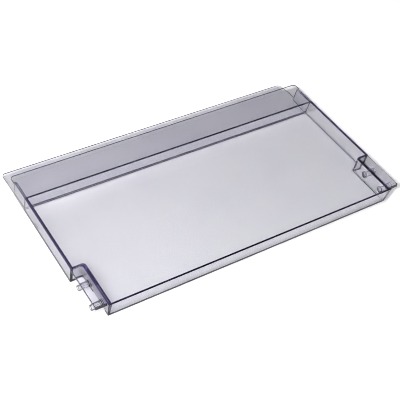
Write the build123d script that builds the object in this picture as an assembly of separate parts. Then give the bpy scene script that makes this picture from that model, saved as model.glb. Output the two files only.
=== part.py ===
"""Front panel of a freezer drawer: one clear plastic moulding.

The panel lies on its outer face. A shallow tray with leaning front and back walls carries a finger grip
along its back, and a notch with a ledge and two hollow pins in each front corner.
X runs along the panel, Y from the front wall to the grip, Z up from the outer face.
"""

import os
from math import radians, tan

from build123d import *

# Tray, in millimetres; lengths along Y start at the foot of the front wall
PANEL_WIDTH = 440.0
TRAY_LENGTH = 195.4
RIM_HEIGHT = 26.3
WALL = 2.4
SIDE_WALL = 3.6
FLOOR = 3.0
WALL_LEAN = 12.0
FOOT_RADIUS = 1.0
INNER_FOOT_RADIUS = 0.8
CORNER_RADIUS = 0.6
RIM_RADIUS = 0.6
EDGE_RADIUS = 0.7

# Corner notches
NOTCH_WIDTH = 16.3
NOTCH_LENGTH = 63.4
NOTCH_WALL = 2.6
NOTCH_SIDE_DRAFT = 4.5
NOTCH_END_LEAN = 6.0
NOTCH_CORNER_RADIUS = 2.0
RIM_STEP_PLACE = 28.4
RIM_STEP_DROP = 1.0
FOOT_REBATE_START = 7.4
FOOT_REBATE_END = 38.4
FOOT_REBATE_HEIGHT = 4.2
FOOT_REBATE_DEPTH = 1.3

# Ledges over the notches
LEDGE_THICKNESS = 2.8
LEDGE_DROP = 1.0
LEDGE_REACH = 1.1
LEDGE_LIP_LENGTH = 4.5
LEDGE_LIP_DROP = 1.6
LEDGE_CORNER_RADIUS = 1.0

# Hollow pins under the ledges
PIN_RADIUS = 3.7
PIN_BORE_RADIUS = 2.3
PIN_BORE_DEPTH = 13.0
PIN_HEIGHT = 11.6
PIN_PLACES = (11.1, 42.9)
PIN_EDGE_RADIUS = 0.4
BOSS_RADIUS = 4.7
BOSS_LENGTH = 3.0
BOSS_CHAMFER = 0.8

# Finger grip
GRIP_DEPTH = 36.1
FLANGE_THICKNESS = 2.6
FLANGE_OVERHANG = 0.8
FLANGE_CORNER_RADIUS = 5.0
GRIP_PLATE_THICKNESS = 3.0
GRIP_PLATE_OVERHANG = 32.6
GRIP_PLATE_RISE = 3.4
GRIP_PLATE_CORNER_RADIUS = 5.0
GRIP_LIP_WIDTH = 20.0
GRIP_LIP_STEP = 0.4
CHEEK_SETBACK_TOP = 11.0
CHEEK_SETBACK_FOOT = 7.5

# Small moulded tick on the left side wall's outer face
TICK_PLACE = 154.4
TICK_HEIGHT = 9.8
TICK_LENGTH = 9.5
TICK_RADIUS = 0.6

# Room that a cutting shape takes beyond the surface it opens
CUT_PAST = 5.0

HALF_WIDTH = PANEL_WIDTH / 2
NOTCH_SIDE = HALF_WIDTH - NOTCH_WIDTH
GRIP_BACK = TRAY_LENGTH + GRIP_DEPTH
PANEL_BACK = GRIP_BACK + GRIP_PLATE_OVERHANG
LEDGE_TOP = RIM_HEIGHT - LEDGE_DROP
CHEEK_TOP_END = GRIP_BACK - CHEEK_SETBACK_TOP
CHEEK_FOOT_END = GRIP_BACK - CHEEK_SETBACK_FOOT


def lean(height):
    """How far the front and back walls have come forward at a height."""
    return height * tan(radians(WALL_LEAN))


def front_face(height):
    """Y of the front wall's outer face."""
    return -lean(height)


def back_face(height):
    """Y of the back wall's rear face."""
    return TRAY_LENGTH - lean(height)


def notch_end(height):
    """Y of the face that ends a notch."""
    return NOTCH_LENGTH - height * tan(radians(NOTCH_END_LEAN))


def notch_side(height):
    """X of the face along a notch."""
    return NOTCH_SIDE + height * tan(radians(NOTCH_SIDE_DRAFT))


def grip_plate_bottom(y):
    """Height of the grip plate's underside, which falls to the panel's resting plane at its back edge."""
    return GRIP_PLATE_RISE * (PANEL_BACK - y) / (PANEL_BACK - TRAY_LENGTH)


def grip_plate_top(y):
    """Height of the grip plate's upper face."""
    return grip_plate_bottom(y) + GRIP_PLATE_THICKNESS


def lengthwise(points, x_low, x_high):
    """A prism along X whose section is given by (y, z) points."""
    section = make_face(Polyline(*points, close=True))
    return Pos(X=x_low) * extrude(Plane.YZ * section, amount=x_high - x_low)


def crosswise(points, y_low, y_high):
    """A prism along Y whose section is given by (x, z) points."""
    section = make_face(Polyline(*points, close=True))
    return Pos(Y=y_high) * extrude(Plane.XZ * section, amount=y_high - y_low)


def both_sides(right):
    """A right-hand feature together with its left-hand twin."""
    return right + mirror(right, about=Plane.YZ)


def upright(edge):
    """Whether an edge runs up a wall."""
    start = edge @ 0
    end = edge @ 1
    return abs(end.Z - start.Z) > abs(end.X - start.X) + abs(end.Y - start.Y)


def upright_edges(solid, x, y):
    """The two edges, left and right, that climb a wall near a plan position."""
    near = [edge for edge in solid.edges() if upright(edge)]
    near = [edge for edge in near if abs(abs((edge @ 0.5).X) - x) < SIDE_WALL]
    return [edge for edge in near if abs((edge @ 0.5).Y - y) < SIDE_WALL]


def tray_block():
    """The tray's outside as a full block, with the corner notches taken out and its feet rounded."""
    top = RIM_HEIGHT
    section = [
        (front_face(0), 0),
        (back_face(0), 0),
        (back_face(top), top),
        (front_face(top), top),
    ]
    block = lengthwise(section, -HALF_WIDTH, HALF_WIDTH)
    block -= both_sides(notch_cutter())
    middle = top / 2
    block = fillet(upright_edges(block, notch_side(middle), notch_end(middle)), NOTCH_CORNER_RADIUS)
    block = fillet(block.edges().group_by(Axis.Z)[0], FOOT_RADIUS)
    block = fillet(upright_edges(block, HALF_WIDTH, notch_end(middle)), CORNER_RADIUS)
    return fillet(upright_edges(block, notch_side(middle), front_face(middle)), CORNER_RADIUS)


def notch_cutter():
    """The space of the right-hand notch, open to the front, to the side, above and below."""
    low = -CUT_PAST
    high = RIM_HEIGHT + CUT_PAST
    far_front = front_face(high) - CUT_PAST
    far_side = HALF_WIDTH + CUT_PAST
    ends = lengthwise(
        [(far_front, low), (notch_end(low), low), (notch_end(high), high), (far_front, high)],
        0,
        far_side,
    )
    sides = crosswise(
        [(notch_side(low), low), (far_side, low), (far_side, high), (notch_side(high), high)],
        far_front,
        NOTCH_LENGTH + CUT_PAST,
    )
    return ends & sides


def tray_hollow():
    """The space inside the tray's walls, above its floor."""
    low = FLOOR
    high = RIM_HEIGHT + CUT_PAST
    section = [
        (front_face(low) + WALL, low),
        (back_face(low) - WALL, low),
        (back_face(high) - WALL, high),
        (front_face(high) + WALL, high),
    ]
    hollow = lengthwise(section, SIDE_WALL - HALF_WIDTH, HALF_WIDTH - SIDE_WALL)
    far_front = front_face(high) - CUT_PAST
    inner_side = NOTCH_SIDE - NOTCH_WALL
    block = lengthwise(
        [
            (far_front, low - CUT_PAST),
            (notch_end(low - CUT_PAST) + NOTCH_WALL, low - CUT_PAST),
            (notch_end(high + CUT_PAST) + NOTCH_WALL, high + CUT_PAST),
            (far_front, high + CUT_PAST),
        ],
        inner_side,
        HALF_WIDTH,
    )
    hollow -= both_sides(block)
    middle = (low + high) / 2
    corners = upright_edges(hollow, inner_side, notch_end(middle) + NOTCH_WALL)
    hollow = fillet(corners, NOTCH_CORNER_RADIUS + NOTCH_WALL)
    hollow = fillet(upright_edges(hollow, HALF_WIDTH - SIDE_WALL, back_face(middle) - WALL), CORNER_RADIUS)
    return fillet(hollow.edges().group_by(Axis.Z)[0], INNER_FOOT_RADIUS)


def rim_step():
    """The strip that lowers the right-hand notch wall's rim beside the ledge's front half."""
    low = RIM_HEIGHT - RIM_STEP_DROP
    high = RIM_HEIGHT + CUT_PAST
    section = [
        (front_face(low) + WALL, low),
        (RIM_STEP_PLACE, low),
        (RIM_STEP_PLACE, high),
        (front_face(high) + WALL, high),
    ]
    return lengthwise(section, NOTCH_SIDE - NOTCH_WALL, HALF_WIDTH)


def foot_rebate():
    """The shallow rebate along the foot of the right-hand notch wall, with its upper edge bevelled."""
    top = FOOT_REBATE_HEIGHT
    inner = NOTCH_SIDE - FOOT_REBATE_DEPTH
    bevel = notch_side(top) - EDGE_RADIUS
    section = [
        (inner, -CUT_PAST),
        (inner, top),
        (bevel, top),
        (bevel + 2 * EDGE_RADIUS, top + 2 * EDGE_RADIUS),
        (bevel + 2 * EDGE_RADIUS, -CUT_PAST),
    ]
    return crosswise(section, FOOT_REBATE_START, FOOT_REBATE_END)


def ledge():
    """The right-hand ledge over its notch, with a lip turned down along its front end."""
    front = -LEDGE_REACH
    lip = front + LEDGE_LIP_LENGTH
    back = notch_end(LEDGE_TOP) + NOTCH_WALL / 2
    bottom = LEDGE_TOP - LEDGE_THICKNESS
    section = [
        (back, LEDGE_TOP),
        (front, LEDGE_TOP),
        (front, bottom - LEDGE_LIP_DROP),
        (lip, bottom - LEDGE_LIP_DROP),
        (lip, bottom),
        (back, bottom),
    ]
    shelf = lengthwise(section, NOTCH_SIDE, HALF_WIDTH)
    corner = shelf.edges().filter_by(Axis.Z).group_by(Axis.Y)[0].group_by(Axis.X)[-1]
    shelf = fillet(corner, LEDGE_CORNER_RADIUS)
    outline = shelf.edges().group_by(Axis.Z)[-1]
    outline = [edge for edge in outline if (edge @ 0.5).X > notch_side(LEDGE_TOP) and (edge @ 0.5).Y < back - WALL]
    return fillet(outline, EDGE_RADIUS)


def pin(place):
    """One hollow pin of the right-hand notch, on its boss, flush with the panel's side."""
    root = NOTCH_SIDE - NOTCH_WALL / 2
    outward = Plane(origin=(root, place, PIN_HEIGHT), x_dir=(0, 1, 0), z_dir=(1, 0, 0))
    length = HALF_WIDTH - root
    shank = outward * extrude(Circle(PIN_RADIUS), amount=length)
    boss_face = notch_side(PIN_HEIGHT) + BOSS_LENGTH
    boss = outward * extrude(Circle(BOSS_RADIUS), amount=boss_face - root)
    mouth = Pos(HALF_WIDTH, place, PIN_HEIGHT)
    hole = mouth * Rot(Y=-90) * extrude(Circle(PIN_BORE_RADIUS), amount=PIN_BORE_DEPTH)
    tip = shank.edges().group_by(Axis.X)[-1]
    shoulder = boss.edges().group_by(Axis.X)[-1]
    return fillet(tip, PIN_EDGE_RADIUS) + chamfer(shoulder, BOSS_CHAMFER) - hole


def flange():
    """The flat top of the finger grip, from the back wall's rim to its rounded rear corners."""
    front = back_face(RIM_HEIGHT) - WALL / 2
    reach = HALF_WIDTH + FLANGE_OVERHANG
    plan = [
        (-HALF_WIDTH, front),
        (HALF_WIDTH, front),
        (HALF_WIDTH, CHEEK_TOP_END),
        (reach, CHEEK_TOP_END),
        (reach, GRIP_BACK),
        (-reach, GRIP_BACK),
        (-reach, CHEEK_TOP_END),
        (-HALF_WIDTH, CHEEK_TOP_END),
    ]
    face = make_face(Polyline(*plan, close=True))
    face = fillet(face.vertices().group_by(Axis.Y)[-1], FLANGE_CORNER_RADIUS)
    slab = Pos(Z=RIM_HEIGHT - FLANGE_THICKNESS) * extrude(face, amount=FLANGE_THICKNESS)
    below = [edge for edge in slab.edges().group_by(Axis.Z)[0] if (edge @ 0.5).Y > CHEEK_TOP_END + EDGE_RADIUS]
    return fillet(below, EDGE_RADIUS)


def cheek():
    """The right-hand end of the finger grip: the side wall carried on behind the back wall."""
    section = [
        (back_face(0) - FOOT_RADIUS, 0),
        (CHEEK_FOOT_END, 0),
        (CHEEK_FOOT_END, grip_plate_top(CHEEK_FOOT_END)),
        (CHEEK_TOP_END, RIM_HEIGHT - FLANGE_THICKNESS),
        (CHEEK_TOP_END, RIM_HEIGHT),
        (back_face(RIM_HEIGHT) - FOOT_RADIUS, RIM_HEIGHT),
    ]
    wall = lengthwise(section, HALF_WIDTH - SIDE_WALL, HALF_WIDTH)
    rear = [edge for edge in wall.edges() if upright(edge) and (edge @ 0.5).Y > back_face(0)]
    foot = wall.edges().group_by(Axis.Z)[0].filter_by(Axis.Y)
    return fillet(rear + foot, EDGE_RADIUS)


def grip_plate():
    """The sloping plate below the finger grip, with a thinner lip along its back edge."""
    start = back_face(GRIP_PLATE_RISE + GRIP_PLATE_THICKNESS) - WALL / 2
    lip = PANEL_BACK - GRIP_LIP_WIDTH
    section = [
        (start, grip_plate_bottom(start)),
        (PANEL_BACK, grip_plate_bottom(PANEL_BACK)),
        (PANEL_BACK, grip_plate_top(PANEL_BACK) - GRIP_LIP_STEP),
        (lip, grip_plate_top(lip) - GRIP_LIP_STEP),
        (lip, grip_plate_top(lip)),
        (start, grip_plate_top(start)),
    ]
    plate = lengthwise(section, -HALF_WIDTH, HALF_WIDTH)
    corners = [edge for edge in plate.edges() if upright(edge) and (edge @ 0.5).Y > lip + GRIP_LIP_WIDTH / 2]
    plate = fillet(corners, GRIP_PLATE_CORNER_RADIUS)
    rear = [edge for edge in plate.edges().filter_by(Axis.X) if (edge @ 0.5).Y > lip + GRIP_LIP_WIDTH / 2]
    return fillet(rear, EDGE_RADIUS)


def tick():
    """The half-round tick along the left side wall."""
    axis = Plane(origin=(-HALF_WIDTH, TICK_PLACE, TICK_HEIGHT), x_dir=(1, 0, 0), z_dir=(0, 1, 0))
    return axis * Pos(Z=-TICK_LENGTH / 2) * extrude(Circle(TICK_RADIUS), amount=TICK_LENGTH)


def at_rim(edge):
    """Whether an edge lies in the plane of the rim."""
    heights = [(edge @ share).Z for share in (0, 0.5, 1)]
    return all(abs(height - RIM_HEIGHT) < RIM_RADIUS / 10 for height in heights)


def drawer_front_panel():
    """The whole moulding, centred on its own length."""
    tray = tray_block() - tray_hollow()
    tray -= both_sides(rim_step())
    tray -= both_sides(foot_rebate())
    panel = tray + flange() + grip_plate() + both_sides(cheek()) + both_sides(ledge())
    for place in PIN_PLACES:
        panel += both_sides(pin(place))
    panel += tick()
    panel = fillet([edge for edge in panel.edges() if at_rim(edge)], RIM_RADIUS)
    return Pos(Y=-panel.bounding_box().center().Y) * panel


os.makedirs("parts", exist_ok=True)
export_step(drawer_front_panel(), "parts/drawer_front_panel.step")
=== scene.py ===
"""Looks and stage of the freezer drawer front panel: one clear plastic moulding on a pale floor."""

import bmesh
import bpy
from bpy.props import FloatProperty, FloatVectorProperty, IntProperty, PointerProperty
from mathutils import Matrix, Vector


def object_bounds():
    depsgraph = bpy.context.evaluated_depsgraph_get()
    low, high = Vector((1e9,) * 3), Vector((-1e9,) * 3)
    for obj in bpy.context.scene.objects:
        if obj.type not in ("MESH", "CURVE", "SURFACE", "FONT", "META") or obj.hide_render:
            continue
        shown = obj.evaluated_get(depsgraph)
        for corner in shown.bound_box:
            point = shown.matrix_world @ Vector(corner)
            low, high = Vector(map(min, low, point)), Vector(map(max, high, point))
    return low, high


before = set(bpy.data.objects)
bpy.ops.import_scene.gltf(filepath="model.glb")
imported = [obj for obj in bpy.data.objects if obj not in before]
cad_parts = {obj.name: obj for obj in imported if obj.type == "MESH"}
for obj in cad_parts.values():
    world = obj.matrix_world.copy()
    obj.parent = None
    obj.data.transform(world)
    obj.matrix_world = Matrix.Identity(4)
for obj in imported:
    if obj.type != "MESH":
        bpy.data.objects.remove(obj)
CAD_BOX = [list(corner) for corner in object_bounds()]

bl_info = {
    "name": "Freezer Drawer Front Panel",
    "version": (1, 0, 0),
    "blender": (4, 5, 0),
    "location": "3D View > Sidebar > Drawer Front",
    "description": "Clear plastic finish and studio stage for a freezer drawer front panel",
    "category": "Object",
}

PANEL_NODE = "drawer_front_panel"

# Ramps over parts of the direction that a surface faces, from where a mask is off to where it is full
FLAT = (0.9, 0.98)
UPRIGHT = (0.4, 0.25)
SIDEWAYS = (0.45, 0.55)
ROUNDED = (0.972, 0.94)
SLOPING = (0.23, 0.32)
FRONTAL = (0.985, 0.995)
# A surface faces forward where its direction along Y is below this
FORWARD = -0.3

# Haze, hairline scuffs and slow waves of a moulded surface that has been handled
HAZE_SCALE = 14.0
HAZE_DETAIL = 3.0
HAZE_PATCHES = (0.45, 0.75)
SCUFF_TURN = 0.6
SCUFF_STRETCH = (900.0, 25.0, 25.0)
SCUFF_LINES = (0.66, 0.74)
SCUFF_SHARE = 0.35
WAVE_SCALE = 22.0
WAVE_HEIGHT = 0.001

# Part of the direction upwards over which the walls give way to the ceiling
WALL_TOP = (0.35, 0.5)
# A light path with a count above this has turned at least once
FIRST_TURN = 0.5
# Camera, in millimetres, metres and pixels
SENSOR_WIDTH = 36.0
NEAREST_SIGHT = 0.01
PIXEL_FILTER = 0.8

WHITE = (1.0, 1.0, 1.0, 1.0)


class ClearPlasticSettings(bpy.types.PropertyGroup):
    """The clear plastic's tint, gloss and surface marks, and the shade painted on its edges, rims and
    ledges.
    """

    absorption: FloatVectorProperty(
        name="Body tint", description="Colour that deep plastic turns towards",
        subtype="COLOR", size=4, min=0.0, max=1.0, default=(0.40, 0.37, 0.60, 1.0))
    density: FloatProperty(
        name="Tint density", description="How fast the plastic takes up light, per metre",
        default=45.0, min=0.0, max=1000.0)
    ior: FloatProperty(
        name="Refraction", description="Index of refraction of clear polystyrene",
        default=1.58, min=1.0, max=2.0)
    clear_colour: FloatVectorProperty(
        name="Clear colour", description="Tint of a clean, polished surface",
        subtype="COLOR", size=4, min=0.0, max=1.0, default=(1.0, 1.0, 1.0, 1.0))
    scuffed_colour: FloatVectorProperty(
        name="Scuffed colour", description="Tint of a surface with handling haze",
        subtype="COLOR", size=4, min=0.0, max=1.0, default=(0.97, 0.97, 0.98, 1.0))
    # Painted shade: the ledges over the notches are greyed for the shade that falls under them
    painted_ledge_shade: FloatVectorProperty(
        name="Painted ledge shade", description="Tint of the ledges over the notches",
        subtype="COLOR", size=4, min=0.0, max=1.0, default=(0.82, 0.81, 0.86, 1.0))
    # Painted shade: the rims' flat tops are darkened for the dark seen down through the deep walls under
    # them
    painted_rim_shade: FloatVectorProperty(
        name="Painted rim shade", description="Tint of the rims' flat tops, above deep walls",
        subtype="COLOR", size=4, min=0.0, max=1.0, default=(0.22, 0.18, 0.42, 1.0))
    # Painted shade: the rounded edges are painted nearly black for the dark lines that clear plastic shows
    # there
    painted_edge_shade: FloatVectorProperty(
        name="Painted edge shade", description="Tint of the rounded edges, which let hardly any light through",
        subtype="COLOR", size=4, min=0.0, max=1.0, default=(0.0003, 0.0002, 0.003, 1.0))
    foot_height: FloatProperty(
        name="Foot height", description="Height up to which an edge belongs to the feet",
        subtype="DISTANCE", unit="LENGTH", default=0.006, min=0.0)
    rim_depth: FloatProperty(
        name="Rim depth", description="Depth from the top down to which an edge belongs to the rims",
        subtype="DISTANCE", unit="LENGTH", default=0.0028, min=0.0)
    rim_step: FloatProperty(
        name="Rim step", description="Depth from the top down to which a flat belongs to the rims",
        subtype="DISTANCE", unit="LENGTH", default=0.0011, min=0.0)
    grip_length: FloatProperty(
        name="Grip length", description="Distance from the panel's back to the front of the grip's flange",
        subtype="DISTANCE", unit="LENGTH", default=0.07627, min=0.0)
    ledge_width: FloatProperty(
        name="Ledge width", description="Distance from the panel's side to the inner side of a ledge",
        subtype="DISTANCE", unit="LENGTH", default=0.0151, min=0.0)
    corner_width: FloatProperty(
        name="Corner width", description="Width of a side wall's outer corner, from the panel's side",
        subtype="DISTANCE", unit="LENGTH", default=0.0023, min=0.0)
    notch_length: FloatProperty(
        name="Notch length", description="Distance from the panel's front to the face that ends a notch",
        subtype="DISTANCE", unit="LENGTH", default=0.06727, min=0.0)
    notch_end_depth: FloatProperty(
        name="Notch end depth", description="Distance either way from a notch's end that its corners take",
        subtype="DISTANCE", unit="LENGTH", default=0.0065, min=0.0)
    ledge_end: FloatProperty(
        name="Ledge end", description="Distance from the panel's front in which a ledge's end face lies",
        subtype="DISTANCE", unit="LENGTH", default=0.00677, min=0.0)
    polish: FloatProperty(
        name="Polished roughness", description="Roughness of a clean surface",
        subtype="FACTOR", default=0.01, min=0.0, max=1.0)
    haze: FloatProperty(
        name="Hazy roughness", description="Roughness where the surface is hazy from handling",
        subtype="FACTOR", default=0.05, min=0.0, max=1.0)
    ripple: FloatProperty(
        name="Ripple", description="Strength of the moulded surface's slow waves",
        subtype="FACTOR", default=0.02, min=0.0, max=1.0)


class StageSettings(bpy.types.PropertyGroup):
    """Floor, light and camera."""

    floor_size: FloatProperty(
        name="Floor size", description="Side of the square floor",
        subtype="DISTANCE", unit="LENGTH", default=8.0, min=1.0)
    floor_drop: FloatProperty(
        name="Floor drop", description="Gap between the floor and the panel's outer face",
        subtype="DISTANCE", unit="LENGTH", default=0.0004, min=0.0)
    floor_colour: FloatVectorProperty(
        name="Floor colour", description="Colour of the floor",
        subtype="COLOR", size=4, min=0.0, max=1.0, default=(0.9, 0.9, 0.9, 1.0))
    # Painted light: a white glow on the floor, left out inside the panel's shadow as worked out from the
    # key light's place
    floor_lift: FloatProperty(
        name="Floor lift", description="White added to the floor outside the panel's shadow",
        subtype="FACTOR", default=0.5, min=0.0, max=1.0)
    floor_fade: FloatProperty(
        name="Floor fade", description="Length along the light over which the lift ends in the shadow",
        subtype="DISTANCE", unit="LENGTH", default=0.007, min=0.001)
    grip_plate: FloatProperty(
        name="Grip plate", description="How far the low grip plate reaches out behind the flange",
        subtype="DISTANCE", unit="LENGTH", default=0.0326, min=0.0)
    notch_width: FloatProperty(
        name="Notch width", description="Width of the open corner under a ledge",
        subtype="DISTANCE", unit="LENGTH", default=0.0163, min=0.0)
    horizon: FloatProperty(
        name="Wall light", description="Strength of the light from the walls all round",
        default=0.55, min=0.0, max=2.0)
    sky: FloatProperty(
        name="Ceiling light", description="Strength of the light from above",
        default=0.15, min=0.0, max=2.0)
    key_power: FloatProperty(
        name="Key light", description="Power of the soft light at the front left",
        subtype="POWER", unit="POWER", default=24.3, min=0.0)
    key_size: FloatProperty(
        name="Key light size", description="Side of the square soft light",
        subtype="DISTANCE", unit="LENGTH", default=1.0, min=0.05)
    key_mirrored: FloatProperty(
        name="Key light mirrored", description="Share of the soft light's brightness that is mirrored",
        subtype="FACTOR", default=0.18, min=0.0, max=1.0)
    key_place: FloatVectorProperty(
        name="Key light place", description="Where the soft light hangs",
        subtype="TRANSLATION", unit="LENGTH", size=3, default=(-0.8, -0.62, 0.95))
    camera_place: FloatVectorProperty(
        name="Camera place", description="Where the camera stands",
        subtype="TRANSLATION", unit="LENGTH", size=3, default=(-0.49707, -0.66891, 0.79731))
    camera_right: FloatVectorProperty(
        name="Camera right", description="Direction of the picture's right-hand side",
        subtype="DIRECTION", size=3, default=(0.84776, -0.52309, 0.08765))
    camera_aim: FloatVectorProperty(
        name="Camera aim", description="Direction in which the camera looks",
        subtype="DIRECTION", size=3, default=(0.42549, 0.57209, -0.70119))
    focal_length: FloatProperty(
        name="Focal length", description="Lens, for a sensor 36 mm wide",
        subtype="DISTANCE_CAMERA", unit="CAMERA", default=79.54, min=1.0)
    bounces: IntProperty(
        name="Bounces", description="Turns of a light path inside clear walls",
        default=32, min=4, max=128)


def add_math(tree, operation, *values):
    """A math node fed by sockets and plain numbers."""
    node = tree.nodes.new("ShaderNodeMath")
    node.operation = operation
    for socket, value in zip(node.inputs, values):
        if isinstance(value, (int, float)):
            socket.default_value = value
        else:
            tree.links.new(value, socket)
    return node.outputs["Value"]


def add_vector_math(tree, operation, first, second):
    """A vector math node, from a socket and a plain vector or another socket."""
    node = tree.nodes.new("ShaderNodeVectorMath")
    node.operation = operation
    tree.links.new(first, node.inputs[0])
    if isinstance(second, bpy.types.NodeSocket):
        tree.links.new(second, node.inputs[1])
    else:
        node.inputs[1].default_value = second
    return node.outputs["Vector"]


def add_range(tree, value, start, end):
    """A ramp from 0 where a value is at the start to 1 where it is at the end."""
    node = tree.nodes.new("ShaderNodeMapRange")
    node.inputs["From Min"].default_value = start
    node.inputs["From Max"].default_value = end
    tree.links.new(value, node.inputs["Value"])
    return node.outputs["Result"]


def add_noise(tree, place, scale=1.0, detail=1.0):
    """A noise texture over a surface."""
    node = tree.nodes.new("ShaderNodeTexNoise")
    node.inputs["Scale"].default_value = scale
    node.inputs["Detail"].default_value = detail
    tree.links.new(place, node.inputs["Vector"])
    return node


def multiply_all(tree, *values):
    """The product of several values."""
    product = values[0]
    for value in values[1:]:
        product = add_math(tree, "MULTIPLY", product, value)
    return product


def largest(tree, *values):
    """The largest of several values."""
    most = values[0]
    for value in values[1:]:
        most = add_math(tree, "MAXIMUM", most, value)
    return most


def smallest(tree, *values):
    """The smallest of several values."""
    least = values[0]
    for value in values[1:]:
        least = add_math(tree, "MINIMUM", least, value)
    return least


def opposite(tree, mask):
    """A mask turned round, 1 where it was 0."""
    return add_math(tree, "SUBTRACT", 1.0, mask)


def surface_marks_group():
    """Node group for a moulded clear surface: handling haze, hairline scuffs and slow ripple."""
    group = bpy.data.node_groups.new("Moulded Surface Marks", "ShaderNodeTree")
    scale = group.interface.new_socket("Haze Size", in_out="INPUT", socket_type="NodeSocketFloat")
    scale.default_value = HAZE_SCALE
    for name in ("Haze", "Ripple"):
        group.interface.new_socket(name, in_out="OUTPUT", socket_type="NodeSocketFloat")
    nodes, links = group.nodes, group.links
    inputs = nodes.new("NodeGroupInput").outputs
    results = nodes.new("NodeGroupOutput").inputs
    place = nodes.new("ShaderNodeTexCoord").outputs["Object"]

    cloud = add_noise(group, place, detail=HAZE_DETAIL)
    links.new(inputs["Haze Size"], cloud.inputs["Scale"])
    patches = add_range(group, cloud.outputs["Fac"], *HAZE_PATCHES)

    stretch = nodes.new("ShaderNodeMapping")
    stretch.inputs["Rotation"].default_value = (0.0, 0.0, SCUFF_TURN)
    stretch.inputs["Scale"].default_value = SCUFF_STRETCH
    links.new(place, stretch.inputs["Vector"])
    hair = add_noise(group, stretch.outputs["Vector"])
    scuffs = add_range(group, hair.outputs["Fac"], *SCUFF_LINES)
    both = add_math(group, "MULTIPLY_ADD", scuffs, SCUFF_SHARE, patches)
    both.node.use_clamp = True
    links.new(both, results["Haze"])

    wave = add_noise(group, place, scale=WAVE_SCALE)
    links.new(wave.outputs["Fac"], results["Ripple"])
    return group


def painted_shade_limits(settings):
    """Heights, places and widths that tell the panel's rims, feet, ledges and notches apart, for the
    painted shade.
    """
    low, high = CAD_BOX
    return {
        "Foot Top": settings.foot_height,
        "Rim Bottom": high[2] - settings.rim_depth,
        "Rim Top": high[2] - settings.rim_step,
        "Flange Front": high[1] - settings.grip_length,
        "Ledge Inside": high[0] - settings.ledge_width,
        "Notch Outside": high[0] - settings.corner_width,
        "Notch End": low[1] + settings.notch_length,
        "Notch End Depth": settings.notch_end_depth,
        "Ledge Front": low[1] + settings.ledge_end,
    }


def painted_shade_group(limit_names):
    """Node group that tells where shade is painted on the plastic: rounded edges, rims' flat tops and
    ledges.
    """
    group = bpy.data.node_groups.new("Painted Shade", "ShaderNodeTree")
    for name in limit_names:
        group.interface.new_socket(name, in_out="INPUT", socket_type="NodeSocketFloat")
    for name in ("Ledge", "Rim", "Edge"):
        group.interface.new_socket(name, in_out="OUTPUT", socket_type="NodeSocketFloat")
    nodes, links = group.nodes, group.links
    limits = nodes.new("NodeGroupInput").outputs
    results = nodes.new("NodeGroupOutput").inputs
    texture = nodes.new("ShaderNodeTexCoord").outputs
    facing = nodes.new("ShaderNodeSeparateXYZ")
    links.new(texture["Normal"], facing.inputs["Vector"])
    turn = {axis: add_math(group, "ABSOLUTE", facing.outputs[axis]) for axis in "XYZ"}
    place = nodes.new("ShaderNodeSeparateXYZ")
    links.new(texture["Object"], place.inputs["Vector"])
    y, z = place.outputs["Y"], place.outputs["Z"]
    aside = add_math(group, "ABSOLUTE", place.outputs["X"])

    flat = add_range(group, turn["Z"], *FLAT)
    high = add_math(group, "GREATER_THAN", z, limits["Rim Bottom"])
    low = add_math(group, "LESS_THAN", z, limits["Foot Top"])
    beyond_rim = add_math(group, "GREATER_THAN", aside, limits["Ledge Inside"])
    beside_notch = add_math(group, "LESS_THAN", y, limits["Notch End"])
    over_notch = multiply_all(group, beyond_rim, beside_notch)
    links.new(multiply_all(group, over_notch, flat, high), results["Ledge"])

    on_top = add_math(group, "GREATER_THAN", z, limits["Rim Top"])
    before_flange = add_math(group, "LESS_THAN", y, limits["Flange Front"])
    rim = multiply_all(group, flat, on_top, before_flange, opposite(group, over_notch))
    links.new(rim, results["Rim"])

    foot = multiply_all(group, low, add_math(group, "LESS_THAN", facing.outputs["Z"], 0.0))
    upright = add_range(group, turn["Z"], *UPRIGHT)
    shoulder = add_math(group, "SUBTRACT", add_range(group, turn["X"], *SIDEWAYS), low)
    rounded = add_range(group, largest(group, turn["X"], turn["Y"], turn["Z"]), *ROUNDED)
    outer_edge = multiply_all(group, rounded, largest(group, high, foot, upright, shoulder))

    from_notch_end = add_math(group, "ABSOLUTE", add_math(group, "SUBTRACT", y, limits["Notch End"]))
    near_notch_end = add_math(group, "LESS_THAN", from_notch_end, limits["Notch End Depth"])
    inside_corner = add_math(group, "LESS_THAN", aside, limits["Notch Outside"])
    forward = add_math(group, "LESS_THAN", facing.outputs["Y"], FORWARD)
    shaded = multiply_all(group, near_notch_end, inside_corner, forward, opposite(group, high))
    open_edge = multiply_all(group, outer_edge, opposite(group, shaded))

    behind_middle = add_math(group, "GREATER_THAN", y, 0.0)
    sloping = add_range(group, multiply_all(group, turn["Y"], turn["Z"]), *SLOPING)
    back_foot = multiply_all(group, low, behind_middle, sloping)
    at_front = add_math(group, "LESS_THAN", y, limits["Ledge Front"])
    ledge_end = multiply_all(group, add_range(group, turn["Y"], *FRONTAL), beyond_rim, at_front)
    links.new(largest(group, open_edge, back_foot, ledge_end), results["Edge"])
    return group


def add_mix(tree, factor, first, second):
    """A mix from a colour, or a colour socket, to a plain colour."""
    node = tree.nodes.new("ShaderNodeMix")
    node.data_type = "RGBA"
    tree.links.new(factor, node.inputs["Factor"])
    if isinstance(first, bpy.types.NodeSocket):
        tree.links.new(first, node.inputs["A"])
    else:
        node.inputs["A"].default_value = first
    node.inputs["B"].default_value = second
    return node.outputs["Result"]


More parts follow.
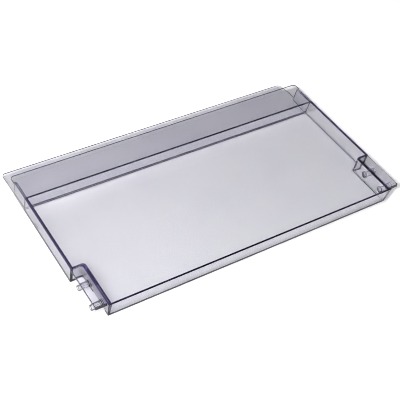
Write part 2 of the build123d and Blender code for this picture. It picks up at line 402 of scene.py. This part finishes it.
def clear_plastic(settings):
    """Clear polystyrene with a faint blue-violet body tint that deepens along the walls."""
    material = bpy.data.materials.new("clear_plastic")
    material.use_nodes = True
    tree = material.node_tree
    nodes, links = tree.nodes, tree.links
    shader = nodes["Principled BSDF"]
    shader.inputs["Metallic"].default_value = 0.0
    shader.inputs["IOR"].default_value = settings.ior
    shader.inputs["Transmission Weight"].default_value = 1.0

    marks = nodes.new("ShaderNodeGroup")
    marks.node_tree = surface_marks_group()
    limits = painted_shade_limits(settings)
    shade_masks = nodes.new("ShaderNodeGroup")
    shade_masks.node_tree = painted_shade_group(limits)
    for name, value in limits.items():
        shade_masks.inputs[name].default_value = value

    tint = add_mix(tree, marks.outputs["Haze"], settings.clear_colour, settings.scuffed_colour)
    # Painted shade over the haze: greyed ledges, darkened rims' tops and nearly black rounded edges
    tint = add_mix(tree, shade_masks.outputs["Ledge"], tint, settings.painted_ledge_shade)
    tint = add_mix(tree, shade_masks.outputs["Rim"], tint, settings.painted_rim_shade)
    tint = add_mix(tree, shade_masks.outputs["Edge"], tint, settings.painted_edge_shade)
    links.new(tint, shader.inputs["Base Color"])

    gloss = nodes.new("ShaderNodeMapRange")
    gloss.inputs["To Min"].default_value = settings.polish
    gloss.inputs["To Max"].default_value = settings.haze
    links.new(marks.outputs["Haze"], gloss.inputs["Value"])
    links.new(gloss.outputs["Result"], shader.inputs["Roughness"])

    bump = nodes.new("ShaderNodeBump")
    bump.inputs["Strength"].default_value = settings.ripple
    bump.inputs["Distance"].default_value = WAVE_HEIGHT
    links.new(marks.outputs["Ripple"], bump.inputs["Height"])
    links.new(bump.outputs["Normal"], shader.inputs["Normal"])

    body = nodes.new("ShaderNodeVolumeAbsorption")
    body.inputs["Color"].default_value = settings.absorption
    body.inputs["Density"].default_value = settings.density
    links.new(body.outputs["Volume"], nodes["Material Output"].inputs["Volume"])
    return material


def light_shares(tree, place, ray, x, y):
    """Shares of the way from a floor point to the key light at which a ray crosses an X and a Y."""
    split = tree.nodes.new("ShaderNodeSeparateXYZ")
    beyond = add_vector_math(tree, "SUBTRACT", place, (x, y, 0.0))
    tree.links.new(add_vector_math(tree, "DIVIDE", beyond, ray), split.inputs["Vector"])
    return split.outputs["X"], split.outputs["Y"]


def past_shadow(tree, settings):
    """How far outside the panel's shadow, as worked out from its box and the key light's place, a floor
    point lies, as a share of the way to the key light.
    """
    low, high = CAD_BOX
    lamp = Vector(settings.key_place)
    rim = high[2] / lamp.z
    place = tree.nodes.new("ShaderNodeTexCoord").outputs["Object"]
    ray = add_vector_math(tree, "SUBTRACT", place, lamp)
    left, front = light_shares(tree, place, ray, low[0], low[1])
    right, back = light_shares(tree, place, ray, high[0], high[1])
    notch_inside = high[0] - settings.notch_width
    notch, grip = light_shares(tree, place, ray, notch_inside, high[1] - settings.grip_plate)
    middle = light_shares(tree, place, ray, 0.0, 0.0)[1]

    entry = smallest(tree, left, front)
    tray_exit = largest(tree, notch, grip, 0.0)
    past_tray = add_math(tree, "SUBTRACT", tray_exit, smallest(tree, entry, rim))
    behind_rim = add_math(tree, "SUBTRACT", largest(tree, right, grip), rim)
    past_rim = largest(tree, behind_rim, add_math(tree, "SUBTRACT", rim, entry))
    before_plate = add_math(tree, "MULTIPLY", smallest(tree, left, middle), -1.0)
    past_plate = largest(tree, right, back, before_plate)
    return smallest(tree, past_tray, past_rim, past_plate)


def floor_paint(settings):
    """Matt pale floor with a painted white glow outside the panel's worked-out shadow, so that it keeps
    the shadow.
    """
    material = bpy.data.materials.new("pale_floor")
    material.use_nodes = True
    tree = material.node_tree
    shader = tree.nodes["Principled BSDF"]
    shader.inputs["Base Color"].default_value = settings.floor_colour
    shader.inputs["Roughness"].default_value = 1.0
    shader.inputs["Specular IOR Level"].default_value = 0.0
    shader.inputs["Emission Color"].default_value = WHITE

    fade = settings.floor_fade / Vector(settings.key_place).length
    level = add_range(tree, past_shadow(tree, settings), -fade, 0.0)
    path = tree.nodes.new("ShaderNodeLightPath").outputs
    seen = largest(tree, path["Is Camera Ray"], path["Is Glossy Ray"], path["Is Transmission Ray"])
    lift = multiply_all(tree, level, settings.floor_lift, seen)
    tree.links.new(lift, shader.inputs["Emission Strength"])
    return material


def lay_floor(settings):
    """The flat floor that the panel lies on."""
    mesh = bpy.data.meshes.new("floor")
    shape = bmesh.new()
    bmesh.ops.create_grid(shape, x_segments=1, y_segments=1, size=settings.floor_size / 2)
    bmesh.ops.translate(shape, verts=shape.verts, vec=(0.0, 0.0, -settings.floor_drop))
    shape.to_mesh(mesh)
    shape.free()
    floor = bpy.data.objects.new("floor", mesh)
    bpy.context.scene.collection.objects.link(floor)
    mesh.materials.append(floor_paint(settings))


def light_surroundings(settings):
    """A pale wall all round and a dimmer ceiling."""
    world = bpy.data.worlds.new("studio")
    world.use_nodes = True
    nodes, links = world.node_tree.nodes, world.node_tree.links
    room = nodes["Background"]
    room.inputs["Color"].default_value = WHITE
    place = nodes.new("ShaderNodeTexCoord")
    split = nodes.new("ShaderNodeSeparateXYZ")
    links.new(place.outputs["Generated"], split.inputs["Vector"])
    level = nodes.new("ShaderNodeMapRange")
    level.interpolation_type = "SMOOTHSTEP"
    level.inputs["From Min"].default_value = WALL_TOP[0]
    level.inputs["From Max"].default_value = WALL_TOP[1]
    level.inputs["To Min"].default_value = settings.horizon
    level.inputs["To Max"].default_value = settings.sky
    links.new(split.outputs["Z"], level.inputs["Value"])
    links.new(level.outputs["Result"], room.inputs["Strength"])
    bpy.context.scene.world = world


def hang_light(settings):
    """A square soft light turned to the panel, with a face that is dimmer where the plastic mirrors it."""
    lamp = bpy.data.lights.new("key_light", "AREA")
    lamp.shape = "SQUARE"
    lamp.size = settings.key_size
    lamp.energy = settings.key_power
    lamp.use_nodes = True
    tree = lamp.node_tree
    path = tree.nodes.new("ShaderNodeLightPath").outputs
    turned = add_math(tree, "GREATER_THAN", path["Glossy Depth"], FIRST_TURN)
    mirrored = multiply_all(tree, turned, add_math(tree, "LESS_THAN", path["Diffuse Depth"], FIRST_TURN))
    level = add_math(tree, "MULTIPLY_ADD", mirrored, settings.key_mirrored - 1.0, 1.0)
    tree.links.new(level, tree.nodes["Emission"].inputs["Strength"])
    light = bpy.data.objects.new("key_light", lamp)
    bpy.context.scene.collection.objects.link(light)
    light.location = settings.key_place
    light.rotation_euler = (-Vector(settings.key_place)).to_track_quat("-Z", "Y").to_euler()


def stand_camera(settings):
    """The camera at the angle of the picture."""
    lens = bpy.data.cameras.new("camera")
    lens.sensor_fit = "HORIZONTAL"
    lens.sensor_width = SENSOR_WIDTH
    lens.lens = settings.focal_length
    lens.clip_start = NEAREST_SIGHT
    camera = bpy.data.objects.new("camera", lens)
    bpy.context.scene.collection.objects.link(camera)
    back = -Vector(settings.camera_aim).normalized()
    right = Vector(settings.camera_right).normalized()
    up = back.cross(right)
    axes = Matrix((right, up, back)).transposed().to_4x4()
    camera.matrix_world = Matrix.Translation(Vector(settings.camera_place)) @ axes
    bpy.context.scene.camera = camera


def follow_light(paths, bounces):
    """Light paths long and sharp enough for clear walls."""
    paths.filter_width = PIXEL_FILTER
    paths.blur_glossy = 0.0
    paths.max_bounces = bounces
    paths.glossy_bounces = bounces
    paths.transmission_bounces = bounces


class FRONTPANEL_OT_finish_panel(bpy.types.Operator):
    """Give the drawer front panel its clear plastic"""

    bl_idname = "frontpanel.finish_panel"
    bl_label = "Finish Panel"

    def execute(self, context):
        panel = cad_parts[PANEL_NODE]
        plastic = clear_plastic(context.scene.clear_plastic_settings)
        for slot in panel.material_slots:
            slot.material = plastic
        return {"FINISHED"}


class FRONTPANEL_OT_set_stage(bpy.types.Operator):
    """Lay the floor, light it and stand the camera"""

    bl_idname = "frontpanel.set_stage"
    bl_label = "Set Stage"

    def execute(self, context):
        settings = context.scene.stage_settings
        lay_floor(settings)
        light_surroundings(settings)
        hang_light(settings)
        stand_camera(settings)
        follow_light(context.scene.cycles, settings.bounces)
        context.scene.view_settings.view_transform = "Standard"
        return {"FINISHED"}


class FRONTPANEL_PT_sidebar(bpy.types.Panel):
    """Lists the panel's finish and its stage"""

    bl_idname = "FRONTPANEL_PT_sidebar"
    bl_label = "Drawer Front Panel"
    bl_space_type = "VIEW_3D"
    bl_region_type = "UI"
    bl_category = "Drawer Front"

    def draw(self, context):
        for settings, operator in (
            (context.scene.clear_plastic_settings, FRONTPANEL_OT_finish_panel),
            (context.scene.stage_settings, FRONTPANEL_OT_set_stage),
        ):
            box = self.layout.box()
            for name in settings.__annotations__:
                box.prop(settings, name)
            box.operator(operator.bl_idname)


CLASSES = (
    ClearPlasticSettings,
    StageSettings,
    FRONTPANEL_OT_finish_panel,
    FRONTPANEL_OT_set_stage,
    FRONTPANEL_PT_sidebar,
)


def register():
    for item in CLASSES:
        bpy.utils.register_class(item)
    bpy.types.Scene.clear_plastic_settings = PointerProperty(type=ClearPlasticSettings)
    bpy.types.Scene.stage_settings = PointerProperty(type=StageSettings)


def unregister():
    del bpy.types.Scene.stage_settings
    del bpy.types.Scene.clear_plastic_settings
    for item in reversed(CLASSES):
        bpy.utils.unregister_class(item)


def main():
    register()
    bpy.ops.frontpanel.finish_panel()
    bpy.ops.frontpanel.set_stage()


if __name__ == "__main__":
    main()
